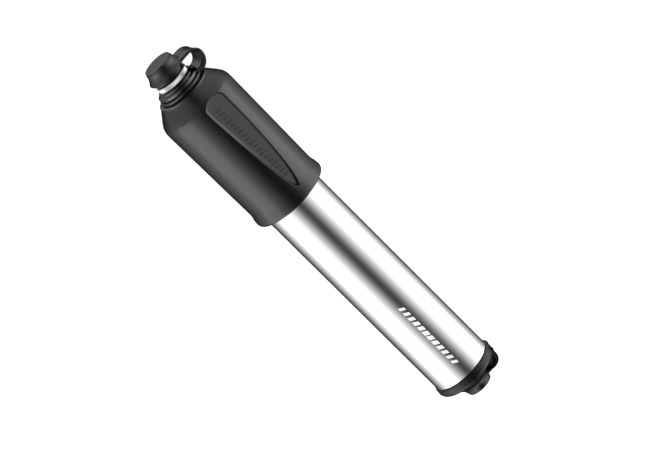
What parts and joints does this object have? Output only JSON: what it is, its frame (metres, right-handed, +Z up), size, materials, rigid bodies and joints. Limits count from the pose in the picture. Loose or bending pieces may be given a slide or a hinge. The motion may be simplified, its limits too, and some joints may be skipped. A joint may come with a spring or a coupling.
{
  "type": "bicycle mini pump",
  "caption": "Hand-held bicycle mini pump with a tapered overlap handle, a plain barrel, rubber end caps on straps and a hose stored in its hollow rod.",
  "frame": {"origin": "under the middle of the pump, on the surface that it lies on", "axes": "+X along the pump from the hose cap to the outlet plug, +Y towards the side that the cap and plug straps are on, +Z up"},
  "size_m": [0.186, 0.0334, 0.0333],
  "materials": {
    "black_rubber": "satin moulded",
    "black_anodised": "black anodised, semi-gloss",
    "black_plastic": "satin moulded",
    "satin_alloy": "satin turned",
    "acetal": "machined",
    "seal_rubber": "smooth",
    "polished_alloy": "polished",
    "brass": "turned",
    "spring_steel": "drawn",
    "hose_rubber": "ribbed matte"
  },
  "bodies": {
    "barrel": {"barrel_tube": "polished_alloy", "guide_bush": "acetal", "rod_wiper": "seal_rubber", "return_bumper": "seal_rubber", "outlet_block": "satin_alloy", "outlet_o_ring": "seal_rubber", "valve_seat": "brass", "valve_spring": "spring_steel", "end_cap_ring": "black_rubber"},
    "valve": {"valve_poppet": "seal_rubber"},
    "piston_seal": {"piston_o_ring": "seal_rubber"},
    "plunger": {"plunger_rod": "satin_alloy", "piston_head": "acetal", "handle_shell": "black_plastic", "collar_nut": "black_anodised", "stop_bumper": "seal_rubber", "cap_tether": "black_rubber"},
    "hose_cap": {"top_cap": "black_rubber"},
    "port_plug": {"outlet_plug": "black_rubber"},
    "hose": {"hose_head": "satin_alloy", "head_gasket": "seal_rubber", "hose_tube": "hose_rubber", "upper_ferrule": "spring_steel", "lower_ferrule": "spring_steel", "hose_tail_fitting": "brass", "tail_o_ring": "seal_rubber"}
  },
  "joints": [
    {"name": "pump_stroke", "type": "slide", "parent": "barrel", "child": "piston_seal", "axis": [-1, 0, 0], "range_m": [0, 0.11]},
    {"name": "handle_turn", "type": "hinge", "parent": "piston_seal", "child": "plunger", "pos_m": [0, 0, 0.01666], "axis": [1, 0, 0], "continuous": true},
    {"name": "cap_swing", "type": "hinge", "parent": "plunger", "child": "hose_cap", "pos_m": [-0.08494, 0.01453, 0.01357], "axis": [0, -0.2079, -0.9781], "range_deg": [0, 120]},
    {"name": "hose_turn", "type": "hinge", "parent": "plunger", "child": "hose", "pos_m": [0, 0, 0.01666], "axis": [1, 0, 0], "continuous": true},
    {"name": "plug_swing", "type": "hinge", "parent": "barrel", "child": "port_plug", "pos_m": [0.0863, 0.01349, 0.01713], "axis": [0, -0.0349, 0.9994], "range_deg": [0, 120]},
    {"name": "valve_lift", "type": "slide", "parent": "barrel", "child": "valve", "axis": [1, 0, 0], "range_m": [0, 0.0012], "stiffness_N_per_m": 60, "springref_m": -0.002, "deforming": ["valve_spring"]}
  ]
}
